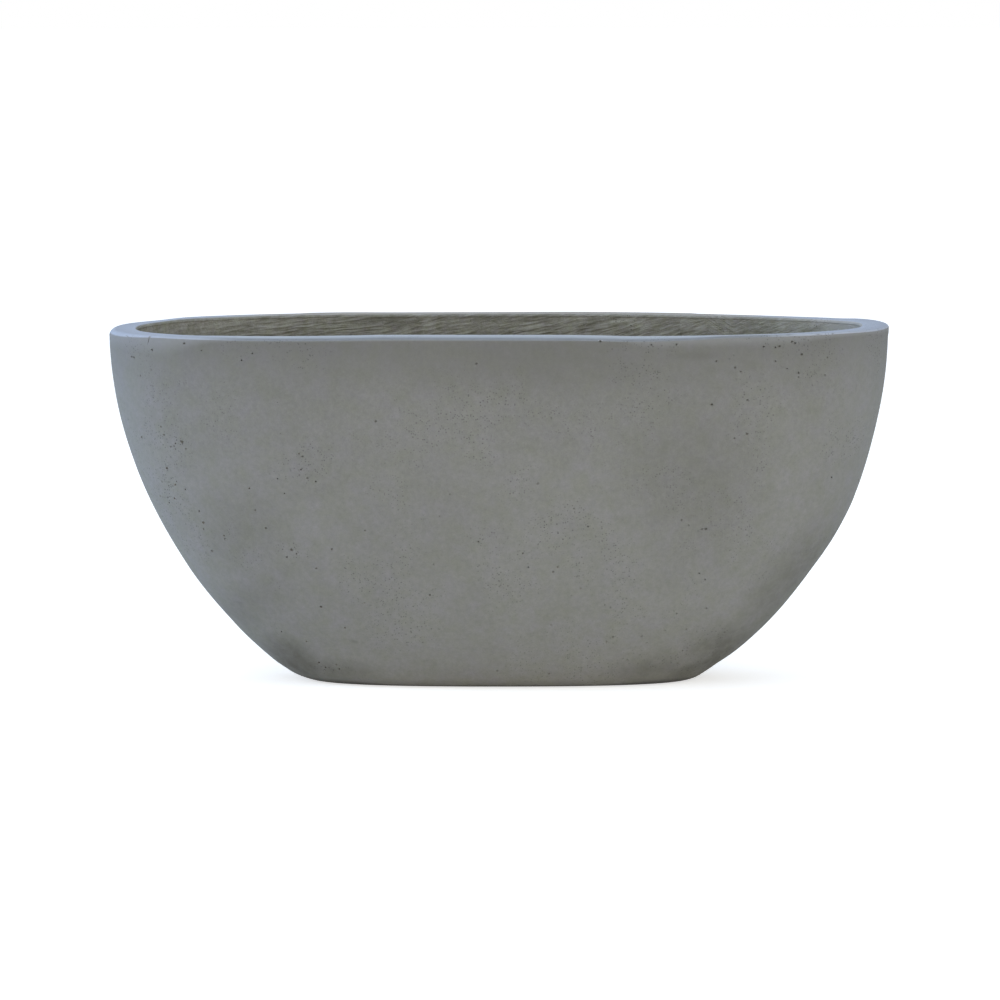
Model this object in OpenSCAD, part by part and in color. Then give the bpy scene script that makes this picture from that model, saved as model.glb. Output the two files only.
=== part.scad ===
// Oval planter bowl in glass-fibre reinforced concrete, hand-laid in a mould.
// A long bowl on a small oval foot: the wall leaves the foot in a tight corner, swells outwards and
// stands upright under a thick, flat-topped rim. Three layers make the wall, each skinned over the
// same family of rings, so that every layer lies face to face on the next one. Two rubber stoppers
// close the drain holes and lift out through the mouth.
// The origin is the centre of the foot on the ground, X is the long axis and the front faces -Y.

/* [Bowl outline] */
// Overall length at the rim
bowl_l = 800; // [600:5:1000]
// Overall width at the rim
bowl_w = 370; // [300:5:500]
// Overall height
bowl_h = 367; // [280:1:460]
// Length of the foot, where the wall's curve would meet the ground
foot_l = 393; // [300:5:520]
// Width of the foot, where the wall's curve would meet the ground
foot_w = 150; // [120:5:240]
// Swell of the wall: smaller bulges more above the foot
belly_power = 0.78; // [0.65:0.01:1]
// Fullness of the rim's outline: 2 is an ellipse, more is squarer
rim_power = 2.25; // [2:0.05:3]
// Fullness of the foot's outline
foot_power = 2.05; // [2:0.05:3]

/* [Edges] */
// Thickness of the rim, seen from above
rim_t = 29; // [22:0.5:40]
// Radius of the rim's outer edge
rim_outer_r = 5; // [2:0.5:10]
// Radius of the rim's inner edge
rim_inner_r = 3; // [1:0.5:8]
// Height over which the rim thins down to the wall
bead_h = 70; // [40:1:120]
// Radius of the foot's outer edge
foot_edge_r = 9; // [2:0.5:10]
// Width of the ring that the foot stands on
foot_ring_w = 24; // [12:1:30]
// Depth of the hollow under the foot
foot_hollow = 3; // [1:0.5:5]

/* [Layers] */
// Thickness of the whole wall below the rim
wall_t = 14; // [10:0.5:20]
// Height of the inside floor above the ground
floor_t = 22; // [18:0.5:34]
// Radius of the hollow corner where the inside wall meets the floor
floor_fillet_r = 18; // [4:1:28]
// Thickness of the fine face coat on the wall
coat_t = 4; // [2:0.25:6]
// Height of the face coat's upper side at the foot
coat_base_t = 8; // [7:0.5:12]
// Height of the face coat where it returns over the rim
rim_cap_h = 10; // [10:0.5:24]
// Thickness of the glass-fibre mesh layer
scrim_t = 1.2; // [0.6:0.1:2]

/* [Drainage] */
// Diameter of each drain hole
drain_d = 30; // [16:1:36]
// Distance between the two drain holes
drain_spacing = 200; // [100:5:240]
// Gap round a stopper's stem, on each side
stem_gap = 0.3; // [0.2:0.05:0.6]
// Width of the stopper's flange beyond the hole, on each side
flange_lap = 9; // [4:0.5:12]
// Thickness of the stopper's flange
flange_t = 5; // [3:0.5:8]
// Chamfer on the stem's lower end
stem_chamfer = 2.5; // [1:0.25:4]
// Diameter of the thumb dish in the stopper's top
dish_d = 28; // [10:0.5:36]
// Depth of the thumb dish
dish_depth = 1.5; // [0.5:0.25:2.5]
// How far the stem's end stays up inside its hole
stem_short = 1; // [0:0.25:3]

/* [Hidden] */

ring_sides = 60;      // points round each ring
outer_steps = 18;     // rings up the outside of the wall
layer_steps = 14;     // rings up each inner surface
bead_steps = 4;       // rings up the rim's bead
fillet_steps = 4;     // rings up the corner at the floor
edge_steps = 4;       // rings round each rim edge
foot_edge_steps = 4;  // rings round the foot's edge
crowding = 1.7;       // how much closer the rings lie near the foot
bore_fn = 64;
past = 1;             // how far a cut runs past a face

coat_grey = [0.49, 0.49, 0.48];
backing_grey = [0.40, 0.39, 0.36];
mesh_white = [0.85, 0.86, 0.84];
rubber_black = [0.07, 0.07, 0.07];

flare_l = (bowl_l - foot_l) / 2;
flare_w = (bowl_w - foot_w) / 2;
cap_z = bowl_h - rim_cap_h;
bead_z = bowl_h - bead_h;
scrim_base_t = coat_base_t + scrim_t;
stem_r = drain_d / 2 - stem_gap;
flange_r = drain_d / 2 + flange_lap;
dish_r = min(dish_d / 2, flange_r - flange_t / 2);

// Share of the flare reached at height z: 0 at the ground, 1 at the rim
function swell(z) = let (s = z / bowl_h) pow(s * (2 - s), belly_power);
// How fast that share grows with height
function swell_rate(z) =
    let (s = z / bowl_h) belly_power * pow(s * (2 - s), belly_power - 1) * 2 * (1 - s) / bowl_h;
// Distance inwards, level, that gives a wall of thickness t square to its slope
function level_inset(flare, z, t) = t * sqrt(1 + pow(flare * swell_rate(z), 2));
function outline_power(z) = foot_power + (rim_power - foot_power) * z / bowl_h;

// A ring is [half length, half width, height, outline power]
function outer_ring(z, inset = 0) =
    [foot_l / 2 + flare_l * swell(z) - inset, foot_w / 2 + flare_w * swell(z) - inset,
     z, outline_power(z)];
function layer_ring(z, t) =
    let (r = outer_ring(z))
    [r[0] - level_inset(flare_l, z, t), r[1] - level_inset(flare_w, z, t), z, r[3]];

// Heights from low to high, crowded towards the foot
function heights(low, high, steps) =
    [for (i = [0 : steps]) low + (high - low) * pow(i / steps, crowding)];
function backwards(list) = [for (i = [len(list) - 1 : -1 : 0]) list[i]];

// Thickness from the outside face to the inside face: the rim's bead eases into the wall
function inside_t(z) =
    let (u = min(1, max(0, (z - bead_z) / (cap_z - bead_z))))
    wall_t + (rim_t - wall_t) * u * u * (3 - 2 * u);
// How far the corner at the floor stands in from the wall
function fillet_inset(z) =
    let (u = max(0, 1 - (z - floor_t) / floor_fillet_r)) floor_fillet_r * (1 - sqrt(1 - u * u));
function inside_ring(z) =
    let (r = layer_ring(z, inside_t(z)))
    [r[0] - fillet_inset(z), r[1] - fillet_inset(z), z, r[3]];

function coat_inner_rings() = [for (z = heights(coat_base_t, cap_z, layer_steps)) layer_ring(z, coat_t)];
function scrim_inner_rings() =
    [for (z = heights(scrim_base_t, cap_z, layer_steps)) layer_ring(z, coat_t + scrim_t)];
function inside_rings() =
    [for (i = [0 : fillet_steps - 1])
         inside_ring(floor_t + floor_fillet_r * (1 - cos(90 * i / fillet_steps))),
     for (z = heights(floor_t + floor_fillet_r, bead_z, layer_steps)) inside_ring(z),
     for (i = [1 : bead_steps]) inside_ring(bead_z + (cap_z - bead_z) * i / bead_steps)];

// The underside: the hollow's ceiling, the ring it stands on, and the rounded foot edge
function foot_rings() =
    let (far = foot_edge_r + foot_ring_w)
    [[foot_l / 2 - far, foot_w / 2 - far, foot_hollow, foot_power],
     [foot_l / 2 - far, foot_w / 2 - far, 0, foot_power],
     for (i = [0 : foot_edge_steps - 1])
         let (z = foot_edge_r * (1 - cos(90 * i / foot_edge_steps)))
         outer_ring(z, foot_edge_r * (1 - sin(90 * i / foot_edge_steps)))];
function wall_rings() =
    [for (z = heights(foot_edge_r, bowl_h - rim_outer_r, outer_steps)) outer_ring(z)];
// Over the rim and down its inner face, as far as the face coat reaches
function rim_rings() =
    [for (i = [1 : edge_steps])
         let (q = 90 * i / edge_steps)
         outer_ring(bowl_h - rim_outer_r * (1 - sin(q)), rim_outer_r * (1 - cos(q))),
     for (i = [0 : edge_steps])
         let (q = 90 * i / edge_steps)
         outer_ring(bowl_h - rim_inner_r * (1 - cos(q)), rim_t - rim_inner_r * (1 - sin(q)))];

function ring_points(r) =
    [for (i = [0 : ring_sides - 1])
         let (c = cos(360 * i / ring_sides), s = sin(360 * i / ring_sides))
         [r[0] * sign(c) * pow(abs(c), 2 / r[3]), r[1] * sign(s) * pow(abs(s), 2 / r[3]), r[2]]];

// Closed skin over rings that start under the foot, climb the outside and come down the inside.
// Each four-sided patch is split from its lower left to its upper right, going up or down, so that
// two layers that share rings meet exactly.
module skin(rings) {
    last = (len(rings) - 1) * ring_sides;
    sides = [for (k = [0 : len(rings) - 2], i = [0 : ring_sides - 1])
                 let (a = k * ring_sides, b = a + ring_sides, j = (i + 1) % ring_sides)
                 each rings[k][2] < rings[k + 1][2]
                     ? [[a + i, b + i, b + j], [a + i, b + j, a + j]]
                     : [[a + i, b + i, a + j], [b + i, b + j, a + j]]];
    under = [[for (i = [0 : ring_sides - 1]) i]];
    over = [[for (i = [ring_sides - 1 : -1 : 0]) last + i]];
    polyhedron(points = [for (r = rings) each ring_points(r)], faces = concat(under, sides, over));
}

module drain_holes() {
    for (side = [-1, 1])
        translate([side * drain_spacing / 2, 0, -past])
            cylinder(d = drain_d, h = floor_t + 2 * past, $fn = bore_fn);
}

// Fine cement skin: the outside, the underside of the foot and the return over the rim
module face_coat() {
    color(coat_grey)
        difference() {
            skin(concat(foot_rings(), wall_rings(), rim_rings(),
                        [inside_ring(cap_z)], backwards(coat_inner_rings())));
            drain_holes();
        }
}

// Glass-fibre mesh bedded between the two cement layers
module glass_scrim() {
    color(mesh_white)
        difference() {
            skin(concat(coat_inner_rings(), backwards(scrim_inner_rings())));
            drain_holes();
        }
}

// Hand-laid backing with the rough inside face, the bead under the rim and the floor
module fibre_backing() {
    color(backing_grey)
        difference() {
            skin(concat(scrim_inner_rings(), backwards(inside_rings())));
            drain_holes();
        }
}

// Rubber stopper, seated by its flange on the inside floor
module drain_plug(side) {
    tip_z = foot_hollow + stem_short;
    flange_z = floor_t + flange_t;
    edge_r = flange_t / 2;
    color(rubber_black)
        translate([side * drain_spacing / 2, 0, 0])
            rotate_extrude($fn = bore_fn)
                polygon([
                    [0, tip_z],
                    [stem_r - stem_chamfer, tip_z],
                    [stem_r, tip_z + stem_chamfer],
                    [stem_r, floor_t],
                    [flange_r - edge_r, floor_t],
                    for (q = [-75 : 15 : 75])
                        [flange_r - edge_r + edge_r * cos(q), floor_t + edge_r + edge_r * sin(q)],
                    [flange_r - edge_r, flange_z],
                    [dish_r, flange_z],
                    for (u = [0.75, 0.5, 0.25]) [dish_r * u, flange_z - dish_depth * (1 - u * u)],
                    [0, flange_z - dish_depth]
                ]);
}

module drain_plug_left() {
    drain_plug(-1);
}

module drain_plug_right() {
    drain_plug(1);
}

face_coat();
glass_scrim();
fibre_backing();
drain_plug_left();
drain_plug_right();
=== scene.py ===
import math

import bmesh
import bpy
from mathutils import Matrix, Vector


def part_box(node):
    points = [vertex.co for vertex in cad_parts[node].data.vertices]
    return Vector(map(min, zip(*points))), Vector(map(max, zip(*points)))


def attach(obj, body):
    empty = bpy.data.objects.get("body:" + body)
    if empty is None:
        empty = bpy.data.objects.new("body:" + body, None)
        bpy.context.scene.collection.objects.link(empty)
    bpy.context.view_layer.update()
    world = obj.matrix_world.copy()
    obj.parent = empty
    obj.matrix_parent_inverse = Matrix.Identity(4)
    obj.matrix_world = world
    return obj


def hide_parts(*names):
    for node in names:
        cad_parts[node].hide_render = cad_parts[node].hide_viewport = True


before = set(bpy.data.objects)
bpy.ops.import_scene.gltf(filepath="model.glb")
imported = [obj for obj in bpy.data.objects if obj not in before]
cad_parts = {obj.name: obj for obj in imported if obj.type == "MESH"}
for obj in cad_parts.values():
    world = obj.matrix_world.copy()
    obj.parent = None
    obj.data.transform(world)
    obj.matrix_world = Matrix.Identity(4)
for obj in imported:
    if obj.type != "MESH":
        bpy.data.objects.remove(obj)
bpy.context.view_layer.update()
print("frame loaded:", ", ".join(sorted(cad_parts)))

mm = 0.001
vectors = "FLOAT_VECTOR"

# The node tree that is being built: every helper below adds its nodes to it
tree = None


class Field:
    # what a socket puts out. Each sign between fields, as in a * b + 1, adds one Math node to the tree
    def __init__(self, socket):
        self.socket = socket

    def __abs__(self):
        return calc("ABSOLUTE", self)


for sign, operation in (("add", "ADD"), ("sub", "SUBTRACT"), ("mul", "MULTIPLY"), ("truediv", "DIVIDE"),
                        ("pow", "POWER")):
    setattr(Field, f"__{sign}__", lambda a, b, operation=operation: calc(operation, a, b))
    setattr(Field, f"__r{sign}__", lambda a, b, operation=operation: calc(operation, b, a))


def openTree(name, kind, inputs, outputs):
    # a word is the kind of its socket, and a number is its starting value
    global tree
    tree = bpy.data.node_groups.new(name, kind)
    for side, rows in (("INPUT", inputs), ("OUTPUT", outputs)):
        for label, value in rows.items():
            socketKind = value if isinstance(value, str) else "Int" if isinstance(value, int) else "Float"
            made = tree.interface.new_socket(name=label, in_out=side, socket_type="NodeSocket" + socketKind)
            if not isinstance(value, str):
                made.default_value = value
    return fieldsOf(tree.nodes.new("NodeGroupInput")), tree.nodes.new("NodeGroupOutput").inputs


def fieldsOf(node):
    return {socket.name: Field(socket) for socket in node.outputs}


def wire(value, socket):
    # a field is linked to the socket, and anything else is set on it
    if isinstance(value, Field):
        tree.links.new(value.socket, socket)
    else:
        socket.default_value = value


def addNode(kind, inputs=None, **settings):
    node = tree.nodes.new(kind)
    count = len(tree.nodes)
    node.location = (220 * (count // 6), -190 * (count % 6))
    for name, value in settings.items():
        setattr(node, name, value)
    for name, value in (inputs or {}).items():
        wire(value, node.inputs[name])
    return node


def put(kind, inputs=None, take=0, **settings):
    # one node, and the field of the output that is taken from it
    return Field(addNode(kind, inputs, **settings).outputs[take])


def calc(operation, a, b=0.0, c=0.0):
    return put("ShaderNodeMath", {0: a, 1: b, 2: c}, operation=operation)


def larger(first, *others):
    for other in others:
        first = calc("MAXIMUM", first, other)
    return first


def vectorCalc(operation, a, b=(0, 0, 0)):
    return put("ShaderNodeVectorMath", {0: a, 1: b}, operation=operation)


def scaled(vector, factor):
    return put("ShaderNodeVectorMath", {0: vector, "Scale": factor}, operation="SCALE")


def lengthOf(vector):
    return put("ShaderNodeVectorMath", {0: vector}, "Value", operation="LENGTH")


def spread(value, fromMin, fromMax, toMin=0.0, toMax=1.0, blend="SMOOTHSTEP"):
    return put("ShaderNodeMapRange", {"Value": value, "From Min": fromMin, "From Max": fromMax,
                                      "To Min": toMin, "To Max": toMax}, "Result", interpolation_type=blend)


def fade(value, start, end, strength=1.0):
    # full at the start and gone at the end
    return spread(value, start, end, strength, 0.0)


def between(factor, low, high):
    return put("ShaderNodeMix", {0: factor, 2: low, 3: high}, data_type="FLOAT")


def split(vector):
    return list(fieldsOf(addNode("ShaderNodeSeparateXYZ", {0: vector})).values())


def joined(x, y, z):
    return put("ShaderNodeCombineXYZ", {0: x, 1: y, 2: z})


def cloud(vector, scale, detail=2.0, roughness=0.5, warp=0.0):
    return put("ShaderNodeTexNoise", {"Vector": vector, "Scale": scale, "Detail": detail,
                                      "Roughness": roughness, "Distortion": warp})


def swing(*noise):
    # the same noise, swinging about zero
    return cloud(*noise) - 0.5


def cells(vector, scale=1.0):
    # round each cell's middle: the distance from it, and three random numbers of its own
    out = fieldsOf(addNode("ShaderNodeTexVoronoi", {"Vector": vector, "Scale": scale, "Randomness": 1.0},
                           feature="F1"))
    return out["Distance"], split(out["Color"])


def curveOf(value, points):
    node = addNode("ShaderNodeFloatCurve", {"Value": value})
    node.mapping.use_clip = False
    curve = node.mapping.curves[0]
    curve.points[0].location = points[0]
    curve.points[-1].location = points[-1]
    for point in points[1:-1]:
        curve.points.new(*point)
    node.mapping.update()
    return Field(node.outputs[0])


def addObject(name, data):
    made = bpy.data.objects.new(name, data)
    bpy.context.scene.collection.objects.link(made)
    return made


def meshOf(bm, name):
    mesh = bpy.data.meshes.new(name)
    bm.to_mesh(mesh)
    bm.free()
    return mesh


low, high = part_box("face_coat")

# Sizes of the casting: the three overall ones come from the frame, the rest are what makes its form
casting = {
    "length": high.x - low.x,
    "width": high.y - low.y,
    "height": high.z - low.z,
    "footLength": 393 * mm,
    "footWidth": 150 * mm,
    "bellyPower": 0.78,       # smaller bulges more above the foot
    "rimPower": 2.25,         # 2 is an ellipse, more is squarer
    "footPower": 2.05,
    "footSquareness": 0.45,   # how much squarer the face's foot is than the layers within
    "squareHeight": 45 * mm,
    "rimThickness": 29 * mm,
    "rimOuterRadius": 8 * mm,
    "rimCrispRadius": 3.5 * mm,   # the same edge where it came out of the mould sharper
    "rimInnerRadius": 3 * mm,
    "beadHeight": 70 * mm,
    "capHeight": 10 * mm,
    "footEdgeRadius": 9 * mm,
    "footRing": 24 * mm,
    "footHollow": 3 * mm,
    "wall": 14 * mm,
    "floor": 22 * mm,
    "floorFillet": 18 * mm,
    "coat": 4 * mm,
    "coatBase": 8 * mm,
    "mesh": 1.2 * mm,
    "drainRadius": 15 * mm,
    "drainSpacing": 200 * mm,
}

capZ = casting["height"] - casting["capHeight"]
beadZ = casting["height"] - casting["beadHeight"]


def swell(z):
    # share of the flare reached at height z
    s = min(1, max(0, z / casting["height"]))
    return (s * (2 - s)) ** casting["bellyPower"]


def halves(z, inset=0.0):
    # half length and half width of the outside at height z
    flareL = (casting["length"] - casting["footLength"]) / 2
    flareW = (casting["width"] - casting["footWidth"]) / 2
    return (casting["footLength"] / 2 + flareL * swell(z) - inset,
            casting["footWidth"] / 2 + flareW * swell(z) - inset)


def layerHalves(z, thickness):
    # the same, a wall's thickness further in, measured square to the slope
    step = 0.1 * mm
    (aLow, bLow), (aHigh, bHigh) = halves(z - step), halves(z + step)
    a, b = halves(z)
    return (a - thickness * math.hypot(1, (aHigh - aLow) / (2 * step)),
            b - thickness * math.hypot(1, (bHigh - bLow) / (2 * step)))


def insideThickness(z):
    u = min(1, max(0, (z - beadZ) / (capZ - beadZ)))
    return casting["wall"] + (casting["rimThickness"] - casting["wall"]) * u * u * (3 - 2 * u)


def insideHalves(z):
    a, b = layerHalves(z, insideThickness(z))
    u = max(0, 1 - (z - casting["floor"]) / casting["floorFillet"])
    corner = casting["floorFillet"] * (1 - math.sqrt(1 - min(1, u * u)))
    return a - corner, b - corner


def evenHeights(low, high, count, shape):
    # heights whose steps along the wall are all as long as each other
    fine = 600
    zs = [low + (high - low) * i / fine for i in range(fine + 1)]
    walked = [0.0]
    for before, after in zip(zs, zs[1:]):
        walked.append(walked[-1] + math.hypot(after - before, shape(after)[0] - shape(before)[0]))
    picked, k = [], 0
    for i in range(count + 1):
        goal = walked[-1] * i / count
        while k < fine - 1 and walked[k + 1] < goal:
            k += 1
        share = (goal - walked[k]) / (walked[k + 1] - walked[k])
        picked.append(zs[k] + (zs[k + 1] - zs[k]) * share)
    return picked


def squareness(z):
    # fades from the ground upwards
    u = max(0, 1 - z / casting["squareHeight"])
    return u * u * (3 - 2 * u)


# What each ring says about its stretch of the surface, from 0 to 1
ringMarks = ("handLaid", "cast", "edge", "rim", "outer", "lip", "square")

# How many rings each stretch of the loft gets
wallRows = {"footEdge": 7, "outside": 100, "rimEdge": 8, "innerEdge": 5, "return": 9, "hidden": 12, "lip": 44,
            "lipStep": 0.75 * mm, "below": 38, "belowStep": 2.0 * mm, "inside": 56, "fillet": 7, "floor": 18}


def station(a, b, z, crisp=(0.0, 0.0), **marks):
    # one ring of the loft. crisp is how far it moves out and up where the rim's edge is sharp
    marks = dict(dict.fromkeys(ringMarks, 0.0), **marks)
    return dict(marks, size=(a, b, z), crisp=(crisp[0], crisp[0], crisp[1]))


def flatStations(a, b, z, shares, **marks):
    # a level stretch between the middle and the ring of that size
    return [station(a * share, b * share, z, **marks) for share in shares]


def quarterTurn(steps):
    # along a rounded edge: how far round, and the sine and cosine of the angle there
    angles = [math.pi / 2 * i / steps for i in range(steps + 1)]
    return [(i / steps, math.sin(angle), math.cos(angle)) for i, angle in enumerate(angles)]


def faceStations():
    # under the foot, up the outside, over the rim, and back down behind the face
    h, top, footR, ring = (casting[key] for key in ("height", "rimThickness", "footEdgeRadius", "footRing"))
    rimR, crispR, inR = (casting[key] for key in ("rimOuterRadius", "rimCrispRadius", "rimInnerRadius"))
    a, b = halves(0, footR + ring)
    rings = flatStations(a, b, casting["footHollow"], (0, 0.15, 0.35, 0.6, 0.8, 0.93, 0.985, 1), cast=0.3)
    rings.append(station(a + 0.3 * mm, b + 0.3 * mm, 0.6 * mm))
    rings.append(station(a + 1.2 * mm, b + 1.2 * mm, 0))
    for share in (0.3, 0.6, 0.9):
        rings.append(station(a + ring * share, b + ring * share, 0, square=share))
    for _, sine, cosine in quarterTurn(wallRows["footEdge"])[:-1]:
        z = footR * (1 - cosine)
        rings.append(station(*halves(z, footR * (1 - sine)), z, cast=0.6, square=squareness(z)))
    for z in evenHeights(footR, h - rimR, wallRows["outside"], halves):
        rings.append(station(*halves(z), z, cast=1, outer=1, lip=1 if z < h - rimR else 0,
                             square=squareness(z)))
    for share, sine, cosine in quarterTurn(wallRows["rimEdge"])[1:]:
        z, inset = h - rimR * (1 - sine), rimR * (1 - cosine)
        sharper = (inset - crispR * (1 - cosine), h - crispR * (1 - sine) - z)
        rings.append(station(*halves(z, inset), z, sharper, cast=0.5, outer=1, rim=1 if share > 1 / 3 else 0))
    a, b = halves(h)
    for share in (0.14, 0.29, 0.43, 0.57, 0.71, 0.86):
        inset = rimR + (top - rimR - inR) * share
        rings.append(station(a - inset, b - inset, h, ((rimR - crispR) * (1 - share), 0), cast=0.12,
                             outer=1 - share, rim=1))
    for share, sine, cosine in quarterTurn(wallRows["innerEdge"]):
        inset = top - inR * (1 - sine)
        rings.append(station(a - inset, b - inset, h - inR * (1 - cosine), handLaid=0.3 * share,
                             edge=1.6 * sine * cosine, rim=1))
    rows = wallRows["return"]
    for i in range(1, rows + 1):
        z = h - inR - (h - inR - capZ) * i / rows
        rings.append(station(*insideHalves(z) if i == rows else (a - top, b - top), z, handLaid=1))
    for z in reversed(evenHeights(casting["coatBase"], capZ, wallRows["hidden"], halves)):
        rings.append(station(*layerHalves(z, casting["coat"]), z))
    a, b = layerHalves(casting["coatBase"], casting["coat"])
    return rings + flatStations(a, b, casting["coatBase"], (0.7, 0.4, 0.2, 0))


def backingStations():
    # under the backing, up behind it, and down the rough inside to the middle of the floor
    depth, base = casting["coat"] + casting["mesh"], casting["coatBase"] + casting["mesh"]
    floor, fillet = casting["floor"], casting["floorFillet"]
    rings = flatStations(*layerHalves(base, depth), base, (0, 0.2, 0.4, 0.7))
    for z in evenHeights(base, capZ, wallRows["hidden"], halves):
        rings.append(station(*layerHalves(z, depth), z))
    z = capZ
    for stretch in ("lip", "below"):
        for _ in range(wallRows[stretch]):
            rings.append(station(*insideHalves(z), z, handLaid=1))
            z -= wallRows[stretch + "Step"]
    for z in reversed(evenHeights(floor + fillet, z, wallRows["inside"], insideHalves)):
        rings.append(station(*insideHalves(z), z, handLaid=1))
    for share, sine, _ in quarterTurn(wallRows["fillet"])[1:]:
        z = floor + fillet * (1 - sine)
        rings.append(station(*insideHalves(z), z, handLaid=1 - 0.4 * share))
    shares = [1 - i / wallRows["floor"] for i in range(1, wallRows["floor"] + 1)]
    return rings + flatStations(*insideHalves(floor), floor, shares, handLaid=0.6)


def facingOf(rings, i):
    # the way a ring faces, out and up. A hand-laid one faces as its own wall does, also at its seam
    low, high = max(0, i - 1), min(len(rings) - 1, i + 1)
    if rings[i]["handLaid"] == 1:
        low, high = (i, i + 1) if rings[i + 1]["handLaid"] == 1 else (i - 1, i)
    before, after = rings[low]["size"], rings[high]["size"]
    along = Vector((after[0] - before[0], after[2] - before[2])).normalized()
    return along.y, 0, -along.x


def profileObject(name, rings):
    # the rings as a line of points, with what each ring carries as point attributes
    mesh = bpy.data.meshes.new(name)
    mesh.from_pydata([ring["size"] for ring in rings], [(i, i + 1) for i in range(len(rings) - 1)], [])
    for key in ringMarks:
        mesh.attributes.new(key, "FLOAT", "POINT").data.foreach_set("value", [ring[key] for ring in rings])
    facings = [facingOf(rings, i) for i in range(len(rings))]
    for key, rows in (("crisp", [ring["crisp"] for ring in rings]), ("facing", facings)):
        flat = [number for row in rows for number in row]
        mesh.attributes.new(key, vectors, "POINT").data.foreach_set("vector", flat)
    return addObject(name, mesh)


# How the inside was stroked, in metres where nothing else is said
trowel = {
    "slope": 0.15,                # how steeply the strokes climb to the right
    "slopeSpread": 0.14,
    "steepGain": 0.28,            # and how much more steeply past this place, reached over this much of the way
    "steepFrom": 80 * mm,
    "steepOver": 80 * mm,
    "length": 20 * mm,
    "width": 1.7 * mm,
    "depth": 0.8 * mm,
    "streakWarp": 0.6,
    "cellsPerMetre": 9.0,         # patches that were stroked at one go
    "cellRise": 0.03,
    "wander": 9 * mm,
    "wanderScale": 14.0,
    "meanRadius": 0.2625,         # of the wall's way round, for the distance walked along it
    "radiusSwing": 0.05375,
    "stippleFrom": -245 * mm,     # past here, towards the left end, the strokes fade into stipple
    "stippleTo": -310 * mm,
    "stippleScale": 230.0,
    "stippleGain": 2.6,
    "lumpScale": 55.0,
    "lumpGain": 3.0,
    "strokeShare": 0.62,
    "lumpShare": 0.42,
    "crossAt": 232 * mm,          # where a few strokes fall across the others
    "crossHalf": 20 * mm,
    "crossSlope": 0.6,
    "crossRagged": 30 * mm,
    "endAngles": (0.12, 0.3),     # and as far round the right end, in radians
    "floorSlant": 0.25,
    "floorFrom": 4 * mm,          # above the floor, where its strokes give way to the wall's
    "floorTo": 24 * mm,
}


def angleOf(x, y):
    # the turn round the oval from its right end, half a turn either way
    return calc("ARCTAN2", y / casting["width"], x / casting["length"])


def trowelPattern(spot, slope, length, width, detail):
    # -1 in the grooves and 1 on the ridges. It works in geometry trees and in shader trees alike
    x, y, z = split(spot)
    angle = angleOf(x, y)
    around = angle + calc("LESS_THAN", angle, 0.0) * (2 * math.pi)
    luck = cells(spot, trowel["cellsPerMetre"])[1]
    wander = swing(spot, trowel["wanderScale"]) * trowel["wander"]
    slope = slope + (luck[0] - 0.5) * trowel["slopeSpread"]

    def strokes(level, shift=0.0):
        # the shift takes each way of stroking its own noise
        level = level + calc("MULTIPLY_ADD", luck[1], trowel["cellRise"], wander)
        along = joined(x / length, y / length, level / width + shift)
        return cloud(along, 1.0, detail, 0.55, trowel["streakWarp"])

    # the distance walked round the wall to this point shears its height, and past the middle more so
    walked = around * trowel["meanRadius"] - calc("SINE", around * 2) * trowel["radiusSwing"]
    past = x - trowel["steepFrom"]
    bent = calc("SQRT", calc("MULTIPLY_ADD", past, past, trowel["steepOver"] ** 2))
    steeper = (past + bent) * (trowel["steepGain"] / 2) * calc("SIGN", y)
    climbing = strokes(calc("MULTIPLY_ADD", walked, slope, z) + steeper * -1)
    falling = strokes(calc("MULTIPLY_ADD", x, trowel["crossSlope"], z), 40.0)
    ragged = swing(spot, 60.0) * trowel["crossRagged"]
    crossing = fade(abs(x + ragged - trowel["crossAt"]), trowel["crossHalf"] / 3, trowel["crossHalf"])
    atEnd = fade(abs(angle), *trowel["endAngles"])
    streak = between(larger(crossing, atEnd), climbing, falling)
    # the floor was stroked along its length
    swept = strokes(calc("MULTIPLY_ADD", x, trowel["floorSlant"], y), 80.0)
    onFloor = fade(z, casting["floor"] + trowel["floorFrom"], casting["floor"] + trowel["floorTo"])
    streak = spread(between(onFloor, streak, swept), 0.32, 0.68, -1.0, 1.0, "LINEAR")
    lumps = swing(spot, trowel["lumpScale"], 3.0, 0.6) * trowel["lumpGain"]
    stipple = swing(spot, trowel["stippleScale"], detail) * trowel["stippleGain"]
    stippled = spread(x, trowel["stippleFrom"], trowel["stippleTo"], 0.2, 1.0)
    relief = streak * (1.0 - stippled * 0.65) + stipple * (stippled * 0.6)
    relief = relief * trowel["strokeShare"] + lumps * trowel["lumpShare"]
    return put("ShaderNodeClamp", {"Value": relief, "Min": -1.0, "Max": 1.0})


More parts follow.
